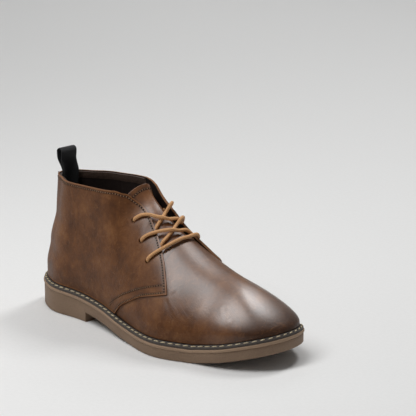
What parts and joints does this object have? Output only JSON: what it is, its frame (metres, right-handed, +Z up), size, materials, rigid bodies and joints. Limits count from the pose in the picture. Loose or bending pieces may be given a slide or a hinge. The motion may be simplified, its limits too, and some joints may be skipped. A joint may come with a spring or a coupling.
{
  "type": "chukka boot",
  "caption": "Right ankle boot: leather upper with open collar, tongue, laces over paired eyelets, pull loop, stitched welt, footbed and moulded rubber sole with low heel",
  "frame": {"origin": "centre of the boot's bounding box in plan, on the floor under the sole", "axes": "+X runs from heel to toe, +Y to the inner side of the foot, +Z up"},
  "size_m": [0.3, 0.1104, 0.15],
  "materials": {
    "sole_rubber": "matt",
    "welt": "matt",
    "footbed": "matt",
    "leather": "semi-gloss, mottled",
    "strap": "matt",
    "lace": "matt braid"
  },
  "bodies": {
    "root": {"outsole": "sole_rubber", "welt": "welt", "insole": "footbed", "upper": "leather", "tongue": "leather", "pull_loop": "strap", "lace_bar": "lace", "lace_cross_lower": "lace", "lace_cross_upper": "lace"}
  },
  "joints": []
}
